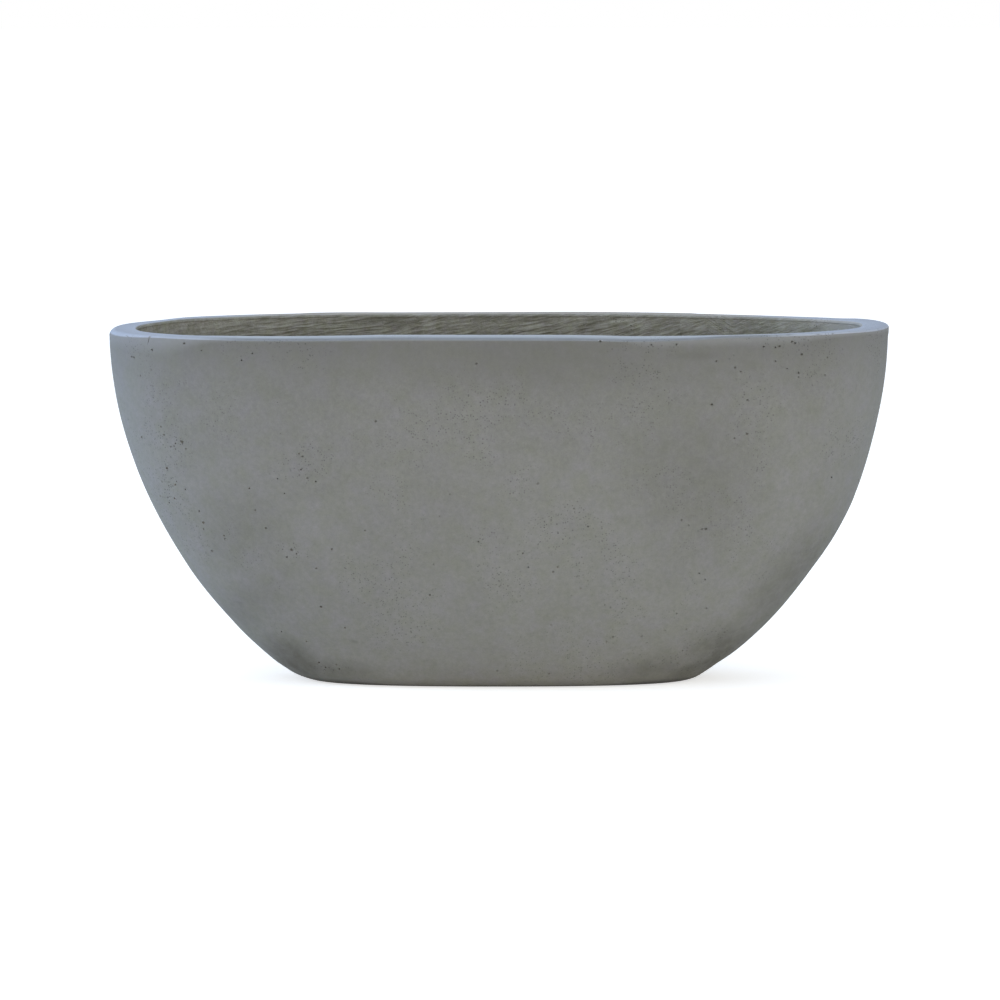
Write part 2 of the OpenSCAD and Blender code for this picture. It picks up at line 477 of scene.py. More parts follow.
# How the casting strays from its drawing, each a curve of (place, share) points. For the two ends of the wall
# the place is the height, for the rim it runs from the left end to the right. A share of 1 is the full amount
unevenness = {
    "leftEnd": ((0, -0.4), (0.023, 0.36), (0.054, 0.04), (0.11, -0.03), (0.19, 0.26), (0.28, 0.17),
                (0.36, 0.3), (0.45, 0.27), (0.53, 0.19), (0.62, 0.16), (0.7, 0.04), (0.78, -0.03), (1, 0)),
    "rightEnd": ((0, 1.05), (0.012, 0.05), (0.03, -0.8), (0.054, -0.42), (0.11, 0.46), (0.19, 0.6),
                 (0.28, 0.58), (0.36, 0.92), (0.45, 1.14), (0.53, 0.87), (0.62, 0.41), (0.7, 0.12),
                 (0.78, 0), (1, 0)),
    "front": ((0, 0.72), (0.09, 0.95), (0.15, 0.8), (0.25, 0.5), (0.32, 0.22), (0.38, 0.02), (0.56, 0.02),
              (0.63, 0.2), (0.69, 0.42), (0.8, 0.46), (0.9, 0.44), (1, 0.1)),
    "back": ((0, 0.6), (0.04, 0.58), (0.1, 0.2), (0.24, 0.12), (0.28, 0.1), (0.37, 0.22), (0.5, 0.24),
             (0.63, 0.18), (0.75, 0.26), (0.83, 0.34), (0.94, 0.32), (0.98, 0.06), (1, 0.1)),
    "outerEdge": ((0, 0), (0.08, 0), (0.2, 0.5), (0.3, 0.6), (0.38, 0.65), (0.5, 0.8), (0.64, 0.88),
                  (0.71, 0.65), (0.76, 0.15), (0.81, -0.3), (0.9, -0.3), (0.96, -0.2), (1, 0)),
}
sideDrift = 4 * mm

# The inputs of the loft's tree and what they start at. A word stands for what each casting brings itself
surface = {
    "Profile": "Geometry",
    "Sides": 400,
    "End Crowding": 0.15,
    "Height": casting["height"],
    "Foot Power": casting["footPower"],
    "Rim Power": casting["rimPower"],
    "Foot Squareness": casting["footSquareness"],
    "Crisp From": -395 * mm,       # along the front, where the rim's edge turns sharp
    "Crisp To": -340 * mm,
    "Back Crisp Reach": 200 * mm,  # and how far it is sharp along the back, on each side
    "Side Drift": sideDrift,
    "Rim Unevenness": 5 * mm,
    "Front Slope": 2.4 * mm,
    "Lip": 0.6 * mm,
    "Wave Depth": 0.6 * mm,
    "Wave Scale": 7.0,
    "Trowel Depth": trowel["depth"],
    "Trowel Slope": trowel["slope"],
    "Stroke Length": trowel["length"],
    "Stroke Width": trowel["width"],
    "Pit Density": 3000.0,
    "Pit Gap": 4.2 * mm,
    "Pit Radius Min": 0.42 * mm,
    "Pit Radius Max": 1.3 * mm,
    "Seed": 4,
    "Drain Radius": casting["drainRadius"],
    "Drain Spacing": casting["drainSpacing"],
    "Chips": "Object",
    "Material": "Material",
}


# Where the loft's effects start and end, in metres
reaches = {
    "roundEnd": (300 * mm, 360 * mm),     # where the rim's edge turns sharp towards the right end
    "backFade": 9 * mm,                   # over which it turns soft again along the back
    "seat": (25 * mm, 40 * mm),           # from a drain hole's middle, where the floor gets its strokes
    "waves": (0.0, 30 * mm),              # up from the ground
    "frontToBack": (-60 * mm, 60 * mm),   # where the front's dip gives way to the back's
    "front": (-60 * mm, -100 * mm),       # where the top starts to slope
    "dip": (0.0, 60 * mm),                # down from the top edge, as the next two
    "slope": (0.0, 30 * mm),
    "lip": (0.0, 90 * mm),
    "lipEnd": (330 * mm, 380 * mm),
    "merge": 0.01 * mm,
    "drill": 100 * mm,
}

# The air holes: the noise that gathers them, the radius from which they are cut with finer balls, and their
# depth as a share of the radius
pits = {"patchScale": 9.0, "patchNoise": (0.48, 0.72), "castFrom": 0.2, "large": 0.8 * mm, "deeper": 1.6}


def fromLeft(x):
    # 0 at the bowl's left end and 1 at its right end
    return x / casting["length"] + 0.5


def buildLoft():
    given, result = openTree("Oval casting", "GeometryNodeTree", surface, {"Casting": "Geometry"})

    def point(name, kind="FLOAT"):
        return put("GeometryNodeInputNamedAttribute", {"Name": name}, "Attribute", data_type=kind)

    def keep(geometry, name, value, kind="FLOAT"):
        return put("GeometryNodeStoreNamedAttribute", {"Geometry": geometry, "Name": name, "Value": value},
                   data_type=kind, domain="POINT")

    # a sheet of quads, one row of points for each ring
    profile = given["Profile"]
    count = put("GeometryNodeAttributeDomainSize", {"Geometry": profile}, "Point Count")
    sheet = put("GeometryNodeMeshGrid", {"Size X": 1, "Size Y": 1, "Vertices X": given["Sides"] + 1,
                                         "Vertices Y": count}, "Mesh")
    place = split(put("GeometryNodeInputPosition"))
    row = calc("ROUND", (place[1] + 0.5) * (count - 1))

    def fromRing(field, kind="FLOAT"):
        return put("GeometryNodeSampleIndex", {"Geometry": profile, "Value": field, "Index": row}, "Value",
                   data_type=kind, domain="POINT")

    # where round the oval: evenly spaced steps, closer at the tight ends
    turn = (place[0] + 0.5) * (2 * math.pi)
    turn = turn + given["End Crowding"] * calc("SINE", turn * 2)
    cosine, sine = calc("COSINE", turn), calc("SINE", turn)
    size = fromRing(put("GeometryNodeInputPosition"), vectors)
    ringL, _, ringZ = split(size)
    power = spread(ringZ, 0.0, given["Height"], given["Foot Power"], given["Rim Power"], "LINEAR")
    power = power + fromRing(point("square")) * given["Foot Squareness"]
    reach = (abs(cosine) ** power + abs(sine) ** power) ** (-1 / power)
    # the rim's edge is sharp along the front and round the right end, and along the middle of the back
    alongX = ringL * cosine * reach
    atBack = fade(abs(alongX), given["Back Crisp Reach"], given["Back Crisp Reach"] + reaches["backFade"])
    atFront = spread(alongX, given["Crisp From"], given["Crisp To"])
    roundEnd = spread(alongX, *reaches["roundEnd"])
    crispness = between(calc("GREATER_THAN", sine, 0.0), atFront, larger(atBack, roundEnd))
    crisp = fromRing(point("crisp", vectors), vectors)
    halfL, halfW, z = split(vectorCalc("ADD", size, scaled(crisp, crispness)))
    target = joined(halfL * cosine * reach, halfW * sine * reach, z)

    # the way each point faces, worked out from its ring, and what its ring carries
    lean = split(fromRing(point("facing", vectors), vectors))
    outX, outY, _ = split(put("ShaderNodeVectorMath", {0: joined(cosine * halfW, sine * halfL, 0.0)},
                              operation="NORMALIZE"))
    carried = {"facing": (joined(outX * lean[0], outY * lean[0], lean[2]), vectors)}
    for key in ringMarks:
        carried[key] = (fromRing(point(key)), "FLOAT")
    carried["target"] = (target, vectors)
    # the fields read the sheet's own flat place, so they are all caught before it is bent
    for key, (field, kind) in carried.items():
        sheet = keep(sheet, key, field, kind)
    sheet = put("GeometryNodeSetPosition", {"Geometry": sheet, "Position": point("target", vectors)})
    sheet = put("GeometryNodeMergeByDistance", {"Geometry": sheet, "Distance": reaches["merge"]})

    spot = put("GeometryNodeInputPosition")
    x, y, z = split(spot)
    handLaid, cast = point("handLaid"), point("cast")
    # round the stoppers the floor is smoothed for their flanges
    fromDrain = lengthOf(joined(abs(x) - given["Drain Spacing"] * 0.5, y, 0.0))
    seatFree = spread(fromDrain, *reaches["seat"], 0.05, 1.0)
    laid = handLaid * larger(seatFree, calc("GREATER_THAN", z, casting["floor"] + 5 * mm))
    relief = trowelPattern(spot, given["Trowel Slope"], given["Stroke Length"], given["Stroke Width"], 1.0)
    dig = (relief - 1.0) * given["Trowel Depth"] * laid
    wave = cloud(spot, given["Wave Scale"]) * given["Wave Depth"] * -1
    wave = wave * calc("MINIMUM", larger(handLaid, cast), spread(z, *reaches["waves"]))
    moved = scaled(point("facing", vectors), wave + dig)

    # each end of the wall strays a little sideways, and the rim was struck off by hand
    along, share = fromLeft(x), z / given["Height"]
    leaning = given["Side Drift"] * between(along, curveOf(share, unevenness["leftEnd"]),
                                            curveOf(share, unevenness["rightEnd"]))
    hollow = between(spread(y, *reaches["frontToBack"]), curveOf(along, unevenness["front"]),
                     curveOf(along, unevenness["back"]))
    belowTop = given["Height"] - z
    dip = hollow * given["Rim Unevenness"] * fade(belowTop, *reaches["dip"])
    # along the front the top slopes outwards a little, and inwards towards the right end
    sloped = curveOf(along, unevenness["outerEdge"]) * spread(y, *reaches["front"])
    sloped = sloped * (point("outer") * fade(belowTop, *reaches["slope"]))
    dip = larger(dip + sloped * given["Front Slope"], 0.0)
    # at the right end the struck cement hangs over the wall a little
    under = point("lip") * fade(belowTop, *reaches["lip"]) * (spread(x, *reaches["lipEnd"]) * given["Lip"])
    moved = vectorCalc("ADD", moved, joined(leaning - under, 0.0, dip * -1))
    body = put("GeometryNodeSetPosition", {"Geometry": sheet, "Offset": moved})

    # air holes, thicker in some patches than in others
    allowed = spread(cloud(spot, pits["patchScale"], 1.0), *pits["patchNoise"], 0.05, 1.0)
    allowed = allowed * (cast * calc("GREATER_THAN", cast, pits["castFrom"]))
    dots = fieldsOf(addNode("GeometryNodeDistributePointsOnFaces", {
        "Mesh": body, "Distance Min": given["Pit Gap"], "Density Max": given["Pit Density"],
        "Density Factor": allowed, "Seed": given["Seed"]}, distribute_method="POISSON"))
    luck = put("FunctionNodeRandomValue", {"Seed": given["Seed"]}, 1, data_type="FLOAT")
    radius = spread(luck ** 3.0, 0.0, 1.0, given["Pit Radius Min"], given["Pit Radius Max"], "LINEAR")
    large = calc("GREATER_THAN", radius, pits["large"])
    cutters = []
    for smoothness, chosen in ((2, large), (1, 1.0 - large)):
        ball = put("GeometryNodeMeshIcoSphere", {"Radius": 1.0, "Subdivisions": smoothness}, "Mesh")
        # each hole is deeper than it is wide, and turned its own way
        cutters.append(put("GeometryNodeInstanceOnPoints", {
            "Points": dots["Points"], "Selection": chosen, "Instance": ball, "Rotation": dots["Rotation"],
            "Scale": joined(radius, radius, radius * pits["deeper"])}))

    # the two drain holes, and the listed blowholes and cracks
    drill = put("GeometryNodeMeshCylinder", {"Vertices": 64, "Radius": given["Drain Radius"],
                                             "Depth": reaches["drill"]}, "Mesh")
    pair = put("GeometryNodeMeshLine", {
        "Count": 2, "Start Location": joined(given["Drain Spacing"] * 0.5 * -1, 0.0, 0.0),
        "Offset": joined(given["Drain Spacing"], 0.0, 0.0)})
    cutters.append(put("GeometryNodeInstanceOnPoints", {"Points": pair, "Instance": drill}))
    cutters.append(put("GeometryNodeObjectInfo", {"Object": given["Chips"]}, "Geometry"))
    cut = addNode("GeometryNodeMeshBoolean", {"Mesh 1": body}, operation="DIFFERENCE", solver="MANIFOLD")
    for cutter in cutters:
        wire(put("GeometryNodeRealizeInstances", {"Geometry": cutter}), cut.inputs["Mesh 2"])

    bend = put("GeometryNodeInputMeshEdgeAngle", None, "Unsigned Angle")
    soft = put("GeometryNodeSetShadeSmooth", {"Geometry": fieldsOf(cut)["Mesh"]}, domain="FACE")
    soft = put("GeometryNodeSetShadeSmooth", {
        "Geometry": soft, "Selection": calc("GREATER_THAN", bend, math.radians(40)),
        "Shade Smooth": False}, domain="EDGE")
    soft = put("GeometryNodeRealizeInstances", {"Geometry": soft})
    wire(put("GeometryNodeSetMaterial", {"Geometry": soft, "Material": given["Material"]}), result["Casting"])


def curveAt(points, place):
    # the same curves as the tree reads, taken as straight from point to point
    for (startAt, start), (endAt, end) in zip(points, points[1:]):
        if place <= endAt:
            return start + (end - start) * (place - startAt) / (endAt - startAt)
    return points[-1][1]


def frontPoint(x, z):
    # the point of the outside's front at that place along and up
    a, b = halves(z)
    share, along = z / casting["height"], fromLeft(x)
    strayed = curveAt(unevenness["leftEnd"], share) * (1 - along)
    strayed = (strayed + curveAt(unevenness["rightEnd"], share) * along) * sideDrift
    power = casting["footPower"] + (casting["rimPower"] - casting["footPower"]) * share
    power += casting["footSquareness"] * squareness(z)
    y = -b * (1 - min(1, abs(x - strayed) / a) ** power) ** (1 / power)
    return Vector((x, y, z))


# Larger blowholes of the front, listed one by one: along, up and radius, in millimetres
blowholes = [
    (-316, 356, 1.4), (-320, 255, 1.8), (-337, 226, 1.8), (-327, 253, 0.95), (-332, 249, 1.05),
    (-316, 248, 0.95), (-342, 269, 1.05), (-339, 261, 1.15), (-343, 211, 0.95), (-327, 213, 0.85),
    (-318, 205, 1.05), (-337, 195, 0.95), (-336, 189, 0.95), (-304, 183, 1.05), (-300, 171, 1.7),
    (-300, 164, 0.95), (-292, 141, 1.25), (-278, 155, 1.05), (-209, 147, 1.7), (-204, 143, 0.95),
    (-214, 139, 1.15), (-235, 169, 1.15), (-198, 231, 1.05), (-183, 219, 1.05), (-215, 206, 0.95),
    (-222, 221, 0.95), (-251, 210, 1.05), (-180, 87, 1.6), (-156, 65, 1.15), (-222, 57, 1.05),
    (-196, 48, 1.05), (-184, 25, 1.15), (-177, 20, 0.95), (-163, 19, 0.95), (-20, 159, 0.95),
    (-65, 135, 0.85), (76, 193, 0.85), (90, 174, 0.95), (1, 112, 0.85), (102, 362, 1.5), (178, 358, 1.15),
    (295, 358, 1.6), (298, 356.5, 1.3), (282, 354, 1.5), (278, 353, 1), (266, 354, 1.3), (305, 345, 1.5),
    (278, 339, 1), (290, 331, 0.9), (302, 326, 1.1), (302, 322, 0.9), (153, 358, 1.05), (214, 297, 1.5),
    (237, 262, 1.05), (250, 266, 1.4), (338, 216, 1.25), (209, 169, 1.5), (205, 169, 1.05),
    (203, 122, 1.05), (-350, 348, 1.15), (-246, 348, 1.05), (-257, 341, 1.15), (-372, 339, 1.4),
    (113, 88, 0.85), (209, 115, 1.05), (211, 84, 0.95), (116, 56, 0.95), (30, 132, 0.95),
]

# Cracks near the rim's left end: where each starts and ends, how wide and how deep
cracks = [
    {"from": (-352.8, 361.5), "to": (-355, 353), "width": 1.5, "depth": 3.0},
    {"from": (-381, 361), "to": (-366, 354.5), "width": 0.6, "depth": 1.5},
    {"from": (-364, 353.5), "to": (-357.5, 350), "width": 0.8, "depth": 1.5},
]


def outwardAt(point):
    # the level way out of the oval at that point
    return Vector((point.x / casting["length"] ** 2, point.y / casting["width"] ** 2, 0)).normalized()


def addBlowhole(bm, along, up, radius):
    # a ball flattened a little and drawn out inwards
    centre = frontPoint(along * mm, up * mm)
    turned = outwardAt(centre).to_track_quat("Z", "Y").to_matrix().to_4x4()
    shape = Matrix.Diagonal((radius * mm, radius * 0.8 * mm, 3 * mm, 1))
    bmesh.ops.create_icosphere(bm, subdivisions=2, radius=1, matrix=Matrix.Translation(centre) @ turned @ shape)


def addCrack(bm, crack):
    # a thin wedge with its sharp edge inwards
    top, end = (frontPoint(along * mm, up * mm) for along, up in (crack["from"], crack["to"]))
    outward = outwardAt(top)
    sideways = Vector((-outward.y, outward.x, 0)) * crack["width"] * mm / 2
    proud, deep = outward * 2 * mm, outward * -crack["depth"] * mm
    middle = (top + end) / 2 + sideways * 1.2
    corners = [top + proud, middle + proud + sideways, end + proud, middle + proud - sideways, top + deep,
               end + deep]
    v = [bm.verts.new(p) for p in corners]
    for face in ((0, 1, 2, 3), (1, 0, 4), (1, 4, 5), (1, 5, 2), (3, 4, 0), (3, 5, 4), (3, 2, 5)):
        bm.faces.new([v[i] for i in face])


def chipCutters():
    # the listed blowholes and cracks as one mesh
    bm = bmesh.new()
    for along, up, radius in blowholes:
        addBlowhole(bm, along, up, radius)
    for crack in cracks:
        addCrack(bm, crack)
    bmesh.ops.recalc_face_normals(bm, faces=bm.faces)
    return addObject("chipCutters", meshOf(bm, "chipCutters"))


def castPiece(name, rings, values):
    # runs the loft on a line of rings and keeps the result as a plain mesh
    line = profileObject(name + "Line", rings)
    modifier = line.modifiers.new("casting", "NODES")
    modifier.node_group = loft
    named = {item.name: item.identifier for item in loft.interface.items_tree if item.item_type == "SOCKET"}
    for label, value in values.items():
        modifier[named[label]] = value
    evaluated = line.evaluated_get(bpy.context.evaluated_depsgraph_get())
    mesh = bpy.data.meshes.new_from_object(evaluated)
    line.modifiers.remove(modifier)
    bpy.data.objects.remove(line)
    mesh.name = name
    for spare in ("target", "facing", "cast", "lip", "square"):
        if spare in mesh.attributes:
            mesh.attributes.remove(mesh.attributes[spare])
    mesh.calc_loop_triangles()
    print("made", name, "with", len(mesh.loop_triangles), "triangles")
    return addObject(name, mesh)


# Effects that several finishes share, each a shader group that puts out masks, shades or heights in millimetres

def shaderGroup(name, inputs, outputs):
    given, result = openTree(name, "ShaderNodeTree", dict({"Vector": "Vector"}, **inputs), outputs)
    return given["Vector"], given, result


# How much each noise counts: of the drying patches, and of the sand
cloudShares = {"broad": 2.7, "fine": 1.6, "mottle": 2.3, "green": 0.25}
sandShares = {"grains": 1.4, "specks": 1.9}


def cloudyTone():
    # broad soft patches, as cement dries unevenly: a shade close to 1
    spot, given, result = shaderGroup("cloudyTone", {"Size": 0.1, "Strength": 0.06, "Warmth": 0.2},
                                      {"Shade": "Float", "Hue": "Color"})
    spot = scaled(spot, 1.0 / given["Size"])
    mottle = cloud(vectorCalc("ADD", spot, (7.0, 3.0, 5.0)), 8.0, 3.0, 0.6)
    broad, fine = swing(spot, 1.0, 2.0, 0.45, 0.4), swing(spot, 4.3, 3.0, 0.6)
    both = broad * cloudShares["broad"] + fine * cloudShares["fine"]
    both = both + (mottle - 0.5) * cloudShares["mottle"]
    wire(both * given["Strength"] + 1.0, result["Shade"])
    # the paler patches are lilac and the darker ones olive
    olive = (0.5 - mottle) * given["Warmth"]
    wire(joined(1.0, 1.0 + olive * cloudShares["green"], 1.0 - olive), result["Hue"])


def sandGrain():
    # the sand in the mix: a shade close to 1
    spot, given, result = shaderGroup("sandGrain", {"Grain": 1.2 * mm, "Strength": 0.06, "Relief": 0.06},
                                      {"Shade": "Float", "Height": "Float"})
    spot = scaled(spot, 1.0 / given["Grain"])
    grains, specks = swing(spot, 1.0, 2.0, 0.6), swing(spot, 0.31, 2.0, 0.65)
    both = grains * sandShares["grains"] + specks * sandShares["specks"]
    wire(both * given["Strength"] + 1.0, result["Shade"])
    wire(both * given["Relief"], result["Height"])


def pinPricks():
    # the finest air holes, too small to cut
    spot, given, result = shaderGroup(
        "pinPricks", {"Spacing": 6 * mm, "Radius": 0.07, "Share": 0.35, "Depth": 0.3, "Extra": 0.0},
        {"Mask": "Float", "Height": "Float"})
    distance, luck = cells(scaled(spot, 1.0 / given["Spacing"]))
    size = given["Radius"] * (0.5 + luck[1])
    hole = fade(distance, size * 0.6, size) * calc("LESS_THAN", luck[0], given["Share"])
    patches = spread(cloud(spot, 14.0, 2.0, 0.6), 0.47, 0.64)
    mask = hole * larger(patches * 0.6, given["Extra"])
    wire(mask, result["Mask"])
    wire(mask * (given["Depth"] * -1), result["Height"])


def edgeWear():
    # breaks an edge's mask up, so that the wear comes and goes along it
    spot, given, result = shaderGroup("edgeWear", {"Edge": 0.0, "Size": 12 * mm, "Amount": 0.6},
                                      {"Mask": "Float"})
    broken = spread(cloud(scaled(spot, 1.0 / given["Size"]), 1.0, 3.0, 0.6), 0.36, 0.62)
    wire(given["Edge"] * broken * given["Amount"], result["Mask"])


def settledDust():
    # pale dust where a surface faces up
    spot, given, result = shaderGroup("settledDust", {"Size": 20 * mm, "Amount": 0.4}, {"Mask": "Float"})
    up = split(put("ShaderNodeNewGeometry", None, "Normal"))[2]
    drifted = spread(cloud(scaled(spot, 1.0 / given["Size"]), 1.0, 4.0, 0.6), 0.3, 0.7, 0.35, 1.0)
    wire(spread(up, 0.35, 0.95) * drifted * given["Amount"], result["Mask"])


def trowelMarks():
    # the same strokes that the mesh has, with the finer lines between them
    spot, given, result = shaderGroup("trowelMarks", {"Slope": trowel["slope"], "Length": trowel["length"],
                                                      "Width": trowel["width"]}, {"Relief": "Float"})
    wire(trowelPattern(spot, given["Slope"], given["Length"], given["Width"], 3.0), result["Relief"])


effects = {}
for makeEffect in (cloudyTone, sandGrain, pinPricks, edgeWear, settledDust, trowelMarks):
    makeEffect()
    effects[tree.name] = tree


def effectOf(name, spot, values=None):
    group = tree.nodes.new("ShaderNodeGroup")
    group.node_tree = effects[name]
    for label, value in dict({"Vector": spot}, **(values or {})).items():
        wire(value, group.inputs[label])
    return fieldsOf(group)


def tint(factor, low, high):
    # colours are linear, and three numbers make one
    low, high = (shade if isinstance(shade, Field) else (*shade, 1.0) for shade in (low, high))
    return put("ShaderNodeMix", {0: factor, 6: low, 7: high}, 2, data_type="RGBA")


def carriedBy(name):
    return put("ShaderNodeAttribute", None, "Fac", attribute_name=name)


def openMaterial(name):
    global tree
    material = bpy.data.materials.new(name)
    material.use_nodes = True
    tree = material.node_tree
    return material


def dress(material, values, height=None):
    # the Principled shader's own values, and a relief in millimetres
    if height:
        values["Normal"] = put("ShaderNodeBump", {"Height": height, "Distance": mm, "Strength": 1.0}, "Normal")
    for label, value in values.items():
        wire(value, tree.nodes["Principled BSDF"].inputs[label])
    return material


# Colours are linear
concrete = {
    "face": (0.232, 0.230, 0.211),
    "warmFoot": (0.150, 0.140, 0.118),
    # the struck top: a pale cement tone with a painted bluish sky reflection, bluest round the ends and left
    # off at the back
    "rim": (0.402, 0.425, 0.441),
    "rimEndsSkyReflection": (0.452, 0.488, 0.555),
    "rimBack": (0.335, 0.300, 0.250),
    "slurry": (0.50, 0.49, 0.47),
    "rimEdge": (0.46, 0.48, 0.51),
    # pale bluish dust on up-facing surfaces, which also stands in as a painted sky sheen
    "dust": (0.38, 0.40, 0.43),
    "innerDust": (0.26, 0.26, 0.24),
    # the pale bluish tone of the painted sheen under the top edge and of the painted light round the ends
    "paintedSheen": (0.36, 0.37, 0.38),
    "paintedSheenAmount": (0.45, 0.34),   # at the left end and at the right
    "paintedEndLight": 0.13,
    # painted shade inside the finest air holes
    "pitShade": (0.045, 0.044, 0.040),
    # dark tone of real stains and smears, also used as painted shade on the lower flanks, round the foot and
    # under the rim
    "stainAndShade": (0.090, 0.087, 0.068),
    # painted shade in the trowel grooves, against the pale ridge tone
    "grooveShade": (0.180, 0.176, 0.145),
    "ridge": (0.405, 0.410, 0.370),
    "palerFrom": 250 * mm,      # the inside is smoother and paler towards the right end
    "palerTo": 350 * mm,
    "palerBy": 0.4,
    "deepLightFrom": 350 * mm,       # and painted paler further below the rim, as painted light where less light reaches in
    "deepLightTo": 326 * mm,
    "deepLightGain": 1.38,
    "darkerInsideDepth": (60 * mm, 100 * mm),
    "frontDepth": (0.0, 60 * mm),
    "footReach": (0.0, 0.07),   # as shares of the height, as the next one
    "smoothTop": (0.85, 0.95),
    "contactShadowAlong": (100 * mm, 165 * mm),    # how high the painted contact shadow darkens the foot, here and past here
    "contactShadowUp": (2.6 * mm, 8 * mm),
    "smearScale": 17.0,
    "smearAmount": 0.15,
    "stainScale": 60.0,
    "paintedSheenAlong": (-200 * mm, 200 * mm),
    "paintedEndLightAlong": (310 * mm, 385 * mm),
    "rimBackDepth": (100 * mm, 150 * mm),
    "rimSkyReflectionAlong": (240 * mm, 340 * mm),
    "rimPaintedShadeAlong": (250 * mm, 310 * mm),
    "ragged": 1.2 * mm,
    "raggedScale": 70.0,
    "runRagged": 1.5 * mm,
    "strokeRelief": 0.35,       # in millimetres
    "pitShadeAmount": 0.8,
    "dustAndSkySheenAmount": 0.5,
    "roughness": 0.86,
    "innerRoughness": 0.95,
}

# What the shared effects are given: on the face, and on the hand-laid inside
onFace = {
    "patch": {"Size": 160 * mm, "Strength": 0.075, "Warmth": 0.22},
    "grain": {"Grain": 1.5 * mm, "Strength": 0.16, "Relief": 0.05},
    "pricks": {"Spacing": 2.3 * mm, "Radius": 0.29, "Share": 0.6, "Depth": 0.3},
    "wear": {"Size": 14 * mm, "Amount": 0.6},
    "dust": {"Size": 30 * mm, "Amount": 0.4},
}
onInside = {
    "patch": {"Size": 70 * mm, "Strength": 0.16, "Warmth": 0.35},
    "grain": {"Grain": 1.6 * mm, "Strength": 0.22, "Relief": 0.2},
    "pricks": {"Spacing": 9 * mm, "Radius": 0.12, "Share": 0.4, "Depth": 0.5},
    "dust": {"Size": 25 * mm, "Amount": 0.35},
}

# Along the wall's inside, from the left end to the right: how much of the rim's slurry shows just under the
# rim, and how far down it runs, in millimetres
slurryAmount = ((0, 0.1), (0.62, 0.12), (0.75, 0.33), (0.84, 0.35), (0.89, 0.6), (0.94, 0.95), (1, 1))
slurryReach = ((0, 3), (0.68, 3), (0.75, 5), (0.84, 8), (0.89, 9), (0.94, 14), (1, 16))

# How far below the top edge the band of painted sheen on the wall reaches, in millimetres, from the left end to
# the right
paintedSheenReach = ((0, 30), (0.06, 30), (0.09, 24), (0.12, 14), (0.16, 7), (0.3, 4), (0.5, 2), (0.66, 4),
              (0.71, 12), (0.84, 12), (0.9, 7), (0.95, 6), (1, 10))

# Painted light and shade across the rim: its tone is painted brightest at the inner edge and falls towards its
# rounded outer one
rimPaintedShade = ((0, 1.33), (0.15, 1.24), (0.35, 1.2), (0.55, 1.1), (0.8, 0.8), (1, 0.56))

# How the face's tone runs with height: painted light brightens it towards the foot, where less light reaches
# the wall, and painted shade darkens a band under the rim. A darker, warmer tint lies over the very foot apart
# from this
paintedLightByHeight = ((0.0, 1.25), (0.02, 1.22), (0.05, 1.09), (0.13, 1.08), (0.3, 1.03), (0.6, 0.98), (0.8, 0.91),
               (0.92, 0.80), (0.975, 0.72), (1.0, 0.72))

# Patches listed one by one, all in millimetres: the middle along and up, the half width, the half height, the
# tilt in degrees and the strength. Stains, with wide painted shade round the foot, over the lower flanks and
# under the rim among them, and groups of pin pricks are on the front, darker places inside at the back
stainsAndPaintedShade = [
    (-214, 43, 3, 9, -45, 0.55), (-147, 50, 7, 3, 15, 0.35), (-208, 24, 60, 30, 35, 0.7),
    (-168, 16, 62, 22, 0, 0.45), (192, 12, 44, 18, -25, 0.6), (158, 20, 75, 27, -8, 0.36),
    (226, 23, 82, 54, -38, 0.62), (300, 100, 145, 55, -50, 0.37), (196, 346, 42, 7, 0, 0.22),
    (-262, 80, 45, 95, 48, 0.24), (-262, 165, 65, 75, 0, 0.2), (200, 215, 100, 120, 0, 0.2),
    (40, 335, 230, 36, 0, 0.15),
]
prickPatches = [
    (-328, 252, 26, 22, 0, 1.0), (-337, 208, 14, 42, 0, 1.0), (-210, 145, 24, 16, 0, 1.0),
    (55, 168, 42, 34, 0, 0.9), (-252, 134, 30, 26, 0, 0.5), (-122, 130, 30, 26, 0, 0.5),
    (-178, 18, 30, 10, 0, 0.8), (-10, 160, 40, 30, 0, 0.5),
]
darkerInsidePatches = [(-122, 359, 62, 9, 0, 0.5), (0, 362, 110, 7, 0, 0.3), (97, 357, 16, 8, -20, 0.35)]


def patchMask(patches, x, z, side):
    # soft ovals on one side of the bowl, each turned by its tilt, the strongest one counting
    mask = 0.0
    for along, up, halfWidth, halfHeight, tilt, strength in patches:
        off = joined(x - along * mm, z - up * mm, 0.0)
        turned = put("ShaderNodeVectorRotate", {"Vector": off, "Angle": math.radians(tilt)},
                     rotation_type="Z_AXIS")
        far = lengthOf(vectorCalc("DIVIDE", turned, (halfWidth * mm, halfHeight * mm, 1.0)))
        mask = larger(mask, fade(far, 0.1, 1.0, strength))
    return mask * side


